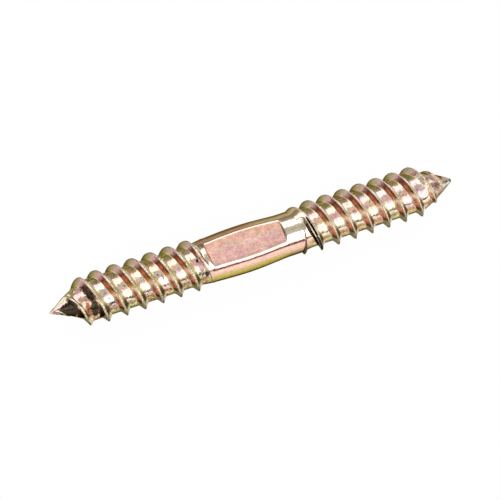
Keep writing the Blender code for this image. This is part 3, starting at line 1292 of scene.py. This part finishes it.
class ZincPainter:
    """Paints one material in the yellow zinc, from places and values that its patterns share."""

    def __init__(self, finish: YellowZinc) -> None:
        """Start the material and find the places and values that its patterns follow.

        Args:
            finish: The colours, spans and patterns to paint with.
        """
        board = NodeBoard("yellow_zinc_finish")
        self.board, self.finish = board, finish
        self.place = board.vector("SCALE", board.put("TexCoord").outputs["Object"], 1 / MM)
        self.along, self.across, self.up = board.put("SeparateXYZ", {0: self.place}).outputs
        self.facing = board.attribute("facing")
        self.rise = board.attribute("rise")
        self.pressed = board.attribute("pressed")
        self.around = self.measured_around()
        blotch = board.calc("SUBTRACT", self.noise(finish.blotches), 0.5)
        self.moved = board.times_plus(blotch, 0.10, self.around)
        self.right = board.stretch(self.along, *finish.right_end)
        self.on_shank = board.times(
            board.stretch(self.along, *finish.shank_left),
            board.stretch(self.along, *finish.shank_right),
        )
        self.fine = self.coloured(finish.fine, 0.5)

    def noise(self, grain: Grain) -> Socket:
        """Lay a grey noise pattern over the screw."""
        return self.board.noise(self.place, grain)

    def coloured(self, grain: Grain, grey: float) -> Socket:
        """Lay a coloured noise pattern over the screw, with a share of its colour taken out."""
        found = self.board.grained(self.place, grain).outputs
        return self.board.blend(grey, found["Color"], found["Fac"])

    def patch(self, along: Span, around: Span) -> Socket:
        """Mark a stretch of the screw on part of the way around it."""
        return self.board.times(
            self.board.stretch(self.along, *along), self.board.stretch(self.around, *around)
        )

    def measured_around(self) -> Socket:
        """Measure how far round the screw a place lies.

        Returns:
            0 along the upper back, 1 along the lower front.
        """
        board, turn = self.board, math.radians(self.finish.band_turn)
        down = board.times(self.across, -math.cos(turn))
        down = board.times_plus(self.up, -math.sin(turn), down)
        square = board.times_plus(self.up, self.up, board.times(self.across, self.across))
        radius = board.calc("MAXIMUM", board.calc("SQRT", square), self.finish.least_radius)
        return board.times_plus(board.calc("DIVIDE", down, radius), 0.5, 0.5)

    def painted(self) -> bpy.types.Material:
        """Join the parts of the finish to the shader.

        Returns:
            The material.
        """
        board = self.board
        inputs = board.shader.inputs
        inputs["Specular Tint"].default_value = self.finish.edge_tint
        board.join(self.colour(), inputs["Base Color"])
        board.join(self.metal(), inputs["Metallic"])
        board.join(self.roughness(), inputs["Roughness"])
        board.join(self.relief(), inputs["Normal"])
        log.info("finish %s: %d nodes", board.made.name, len(board.tree.nodes))
        return board.made

    def metal(self) -> Socket:
        """Tell how mirror-like the metal is; far flanks, the bare-metal patches that are partly
        painted highlights, and one band are cloudy.

        Returns:
            The metallic socket.
        """
        board, finish = self.board, self.finish
        far = board.stretch(self.facing, *finish.far_dull)
        glow = board.times(
            board.stretch(self.around, *finish.glow_from),
            board.stretch(self.around, *finish.glow_to),
        )
        glow = board.times(glow, board.stretch(self.facing, *finish.near_side))
        cloudy = board.calc("MAXIMUM", far, glow)
        cloudy = board.calc("MAXIMUM", cloudy, board.attribute(Tone.BARE_AND_HIGHLIGHT.value))
        return board.times_plus(cloudy, -finish.cloudiness, 1.0)

    def flat_colour(self) -> Socket:
        """Lay the dull pink of the pressed flats, with its painted highlight streak, pale scratches
        and hammered marks.

        Returns:
            The colour's socket.
        """
        board, finish = self.board, self.finish
        flat = board.blend(
            board.stretch(self.across, 0.6, -0.4), finish.flat_high, finish.flat_low
        )
        # Painted highlight: a pale streak that wanders along the flat.
        wander = board.calc("SUBTRACT", self.noise(finish.wander), 0.5)
        line = board.times_plus(self.along, 0.03, board.times_plus(wander, 1.4, self.across))
        off = board.calc("ABSOLUTE", board.calc("SUBTRACT", line, 0.35))
        flat = board.blend(board.stretch(off, 0.7, 0.1, 0.0, 0.7), flat, finish.flat_pale_and_highlight)
        slant = {"Vector": self.place, "Rotation": (0, 0, 0.6), "Scale": (0.5, 1.7, 1.0)}
        slanted = board.put("Mapping", slant).outputs[0]
        scratch = board.stretch(board.noise(slanted, finish.scratches), 0.50, 0.60, 0.0, 0.9)
        flat = board.blend(scratch, flat, finish.flat_pale_and_highlight)
        worn = board.stretch(self.noise(finish.wear), 0.52, 0.72, 0.0, 0.6)
        flat = board.mottled(board.blend(worn, flat, finish.flat_worn), self.fine, 1.2)
        return board.mottled(flat, self.coloured(finish.broad, 0.55), 0.8)

    def shank_colour(self) -> Socket:
        """Lay the plain shank's bands, golden and with painted shade low down, and brown high on
        the left.

        Returns:
            The colour's socket.
        """
        board, finish = self.board, self.finish
        shank = finish.shank.laid(board, self.moved, self.right)
        golden = self.patch(finish.golden_along, finish.golden_around)
        shank = board.blend(golden, shank, finish.golden)
        # Painted shade along the low edge of the shank.
        low = board.stretch(self.around, *finish.painted_shade_rim_around)
        shank = board.blend(low, shank, finish.painted_shade_rim)
        brown = self.patch(finish.brown_along, finish.brown_around)
        return board.blend(brown, shank, board.blend(1.0, shank, finish.brown, "MULTIPLY"))

    def specked(self, body: Socket) -> Socket:
        """Scatter dark specks and curls of thick film over the roots, with few on the shank.

        Args:
            body: Colour to lay them on.

        Returns:
            The colour's socket.
        """
        board, finish = self.board, self.finish
        speck = board.stretch(self.noise(finish.specks), 0.63, 0.70, 0.0, 0.75)
        curl = board.stretch(self.noise(finish.curls), 0.50, 0.57, 0.0, 0.9)
        low = board.stretch(self.around, 0.66, 0.72)
        low = board.times(low, board.stretch(self.along, -8.0, 8.0, 1.0, 0.4))
        marks = board.calc("MAXIMUM", speck, board.times(curl, low))
        marks = board.times(marks, board.stretch(self.on_shank, 0.0, 0.8, 1.0, 0.15))
        return board.blend(marks, body, finish.speck)

    def flanked(self, body: Socket) -> Socket:
        """Lay the feet and the two flanks of the ridges, with the painted reflections and painted
        shade in their bands.

        Args:
            body: Colour to lay them on.

        Returns:
            The colour's socket.
        """
        board, finish = self.board, self.finish
        sides = (
            (finish.foot, finish.foot_side, 0.0),
            (finish.near_flank, finish.near_side, 1.8),
            (finish.far_flank, finish.far_side, 1.5),
        )
        for film, side, strength in sides:
            colour = film.laid(board, self.moved, self.right)
            if strength:
                colour = board.mottled(colour, self.fine, strength)
            body = board.blend(board.stretch(self.facing, *side), body, colour)
        return body

    def crest_colour(self) -> Socket:
        """Lay the pale crests with their dark flecks, fewer on the right, and painted shade in grey
        at the upper back and lower front.

        Returns:
            The colour's socket.
        """
        board, finish = self.board, self.finish
        fleck = board.stretch(self.noise(finish.flecks), 0.46, 0.64)
        fleck = board.times(fleck, board.stretch(self.right, 0.0, 1.0, 1.0, 0.55))
        crest = finish.crest.laid(board, self.around, self.right)
        return board.blend(fleck, crest, board.blend(1.0, crest, finish.fleck, "MULTIPLY"))

    def colour(self) -> Socket:
        """Lay the film's colours over roots, shank, flats, flanks, crests and patches, with the
        painted reflections, highlights and shade that they carry.

        Returns:
            The base colour's socket.
        """
        board, finish = self.board, self.finish
        body = finish.root.laid(board, self.moved, self.right)
        body = board.blend(self.on_shank, body, self.shank_colour())
        body = board.mottled(body, self.fine, board.stretch(self.on_shank, 0.2, 0.9, 2.6, 1.0))
        wide = board.stretch(self.on_shank, 0.2, 0.9, 1.0, 0.0)
        body = board.mottled(body, self.coloured(finish.wide, 0.0), wide)
        body = board.blend(self.pressed, self.specked(body), self.flat_colour())
        # Painted highlight along the flats' back edge.
        body = self.flanked(board.blend(board.attribute("edge"), body, finish.flat_edge_highlight))
        on_crest = board.stretch(self.rise, *finish.crest_rise)
        body = board.blend(on_crest, body, self.crest_colour())
        body = board.blend(board.attribute("burr"), body, finish.burr)
        torn = board.times(board.calc("SUBTRACT", self.noise(finish.torn), 0.5), 1.1)
        for tone, tint in finish.tones:
            found = board.calc("ADD", torn, board.attribute(tone.value))
            share = board.stretch(found, 0.34, 0.60, 0.0, 0.98)
            body = board.blend(share, body, board.mottled(tint, self.fine, 2.6))
        return body

    def roughness(self) -> Socket:
        """Make roots shiny and the flats, far flanks and crests duller.

        Returns:
            The roughness socket.
        """
        board, finish = self.board, self.finish
        base = board.stretch(self.noise(finish.polish), 0.3, 0.75, 0.08, 0.20)
        base = board.calc("ADD", base, board.times(self.pressed, 0.20))
        worn = board.stretch(self.rise, 0.8, 0.95, 0.0, 0.26)
        worn = board.times_plus(board.attribute(Tone.BARE_AND_HIGHLIGHT.value), 0.16, worn)
        worn = board.times_plus(board.attribute(Tone.TAN.value), 0.20, worn)
        worn = board.calc("ADD", worn, board.stretch(self.facing, *finish.far_dull, 0.0, 0.22))
        foot = board.times(
            board.stretch(self.facing, *finish.foot_side),
            board.stretch(self.facing, *reversed(finish.near_side)),
        )
        return board.calc("ADD", base, board.times_plus(foot, 0.14, worn))

    def relief(self) -> Socket:
        """Give the metal its rolled grain and small dents, deeper on the threads than on the shank.

        Returns:
            The normal socket.
        """
        board, finish = self.board, self.finish
        height = board.times_plus(self.noise(finish.rolled), 0.25, self.noise(finish.dents))
        middle = board.calc("ABSOLUTE", board.calc("ADD", self.along, -finish.shank_middle))
        strength = board.stretch(middle, 8.0, 11.0, 0.32, 1.0)
        inputs = {"Height": height, "Strength": strength, "Distance": finish.relief_depth}
        return board.put("Bump", inputs).outputs[0]


@dataclass(frozen=True)
class PaleFloor:
    """The white table under the screw."""

    size: float = 3.0
    whiteness: float = 0.9
    white_when_seen: float = 0.97
    white_in_gloss: float = 0.25
    roughness: float = 0.8

    def build(self, height: float) -> None:
        """Lay the floor and give it its white.

        Args:
            height: Height of the floor.
        """
        bpy.ops.object.select_all(action="DESELECT")
        bpy.ops.mesh.primitive_plane_add(size=self.size, location=(0, 0, height))
        floor = bpy.context.object
        floor.name = "pale_floor"
        bpy.ops.object.transform_apply(location=True)
        board = NodeBoard("pale_floor_white")
        board.shader.inputs["Base Color"].default_value = (self.whiteness,) * 3 + (1.0,)
        board.shader.inputs["Roughness"].default_value = self.roughness
        board.shader.inputs["Specular IOR Level"].default_value = 0.0
        rays = board.put("LightPath").outputs
        mirrored = board.calc("MAXIMUM", rays["Is Glossy Ray"], rays["Is Transmission Ray"])
        mirrored = board.times(mirrored, self.white_in_gloss)
        share = board.times_plus(rays["Is Camera Ray"], self.white_when_seen, mirrored)
        white = board.put("Emission", {"Color": (1.0, 1.0, 1.0, 1.0), "Strength": 1.0})
        mixed = board.put("MixShader", {0: share, 1: board.shader.outputs[0], 2: white.outputs[0]})
        output = board.tree.nodes["Material Output"]
        board.join(mixed.outputs[0], output.inputs["Surface"])
        floor.data.materials.append(board.made)
        log.info("floor at %.2f mm", height / MM)


@dataclass(frozen=True)
class SoftBox:
    """A long soft light beside the screw, lying along it."""

    name: str
    tilt: float
    spread: float
    distance: float = 0.45
    reach_left: float = 0.65
    reach_right: float = 1.3
    radiance: float = 1.45

    def build(self) -> None:
        """Hang the light and aim it at the screw."""
        width = 2 * self.distance * math.tan(math.radians(self.spread / 2))
        turn = math.radians(self.tilt)
        length = self.reach_left + self.reach_right
        place = Vector((0, -math.sin(turn), math.cos(turn))) * self.distance
        place.x = (self.reach_right - self.reach_left) / 2
        bpy.ops.object.light_add(type="AREA", location=place, rotation=(turn, 0, 0))
        lamp = bpy.context.object
        lamp.name = self.name
        lamp.data.shape = "RECTANGLE"
        lamp.data.size = length
        lamp.data.size_y = width
        lamp.data.energy = self.radiance * math.pi * length * width
        log.info("light %s: %.0f x %.0f mm", self.name, length / MM, width / MM)


@dataclass(frozen=True)
class Studio:
    """The soft lights and the room around the screw."""

    lights: tuple[SoftBox, ...] = (
        SoftBox("back_softbox", -39.0, 34.0),
        SoftBox("front_softbox", 43.5, 45.0),
        SoftBox("low_front_card", 84.5, 13.0, radiance=1.4),
    )
    front_wall: tuple[tuple[float, Colour], ...] = (
        (0.0, (0.05, 0.03, 0.025)),
        (0.40, (0.24, 0.12, 0.085)),
        (0.75, (0.45, 0.45, 0.45)),
        (0.92, (0.72, 0.72, 0.72)),
    )
    back_wall: tuple[tuple[float, Colour], ...] = (
        (0.0, (0.42, 0.42, 0.42)),
        (0.40, (0.46, 0.46, 0.46)),
        (0.75, (0.50, 0.50, 0.50)),
        (0.92, (0.72, 0.72, 0.72)),
    )

    def build(self) -> None:
        """Hang the lights and paint the room."""
        for light in self.lights:
            light.build()
        world = bpy.data.worlds.new("studio_room")
        bpy.context.scene.world = world
        world.use_nodes = True
        board = NodeBoard.over(world.node_tree)
        parts = board.put("SeparateXYZ", {0: board.put("TexCoord").outputs["Generated"]}).outputs
        front = board.ramp(parts["Z"], self.front_wall)
        back = board.ramp(parts["Z"], self.back_wall)
        mixed = board.blend(board.stretch(parts["Y"], -0.3, 0.3), front, back)
        board.join(mixed, board.tree.nodes["Background"].inputs["Color"])
        log.info("room painted, %d lights hung", len(self.lights))


@dataclass(frozen=True)
class ProductCamera:
    """The camera, up on the left of the screw and well back."""

    place: Vector = Vector((-119.155, -87.035, 344.11)) * MM
    right: Vector = Vector((0.90070, -0.37891, 0.21256))
    up: Vector = Vector((0.29969, 0.89608, 0.32747))
    back: Vector = Vector((-0.31454, -0.23126, 0.92065))
    lens: float = 149.74
    sensor_width: float = 36.0
    clip_start: float = 0.01

    def build(self) -> None:
        """Set the camera up and make it the scene's own."""
        bpy.ops.object.camera_add()
        camera = bpy.context.object
        camera.name = "product_camera"
        turn = Matrix((self.right, self.up, self.back)).transposed()
        camera.matrix_world = Matrix.Translation(self.place) @ turn.to_4x4()
        camera.data.lens = self.lens
        camera.data.sensor_width = self.sensor_width
        camera.data.clip_start = self.clip_start
        bpy.context.scene.camera = camera
        log.info("camera with a %.0f mm lens", self.lens)


def main() -> None:
    """Build the screw, the floor, the lights and the camera in order."""
    logging.basicConfig(level=logging.INFO, format="%(message)s")
    bpy.context.scene.view_settings.view_transform = "Standard"
    screw = DowelScrew()
    screw.dress(screw.build(), YellowZinc())
    PaleFloor().build(float(cad_box[0][2]))
    Studio().build()
    ProductCamera().build()


if __name__ == "__main__":
    main()
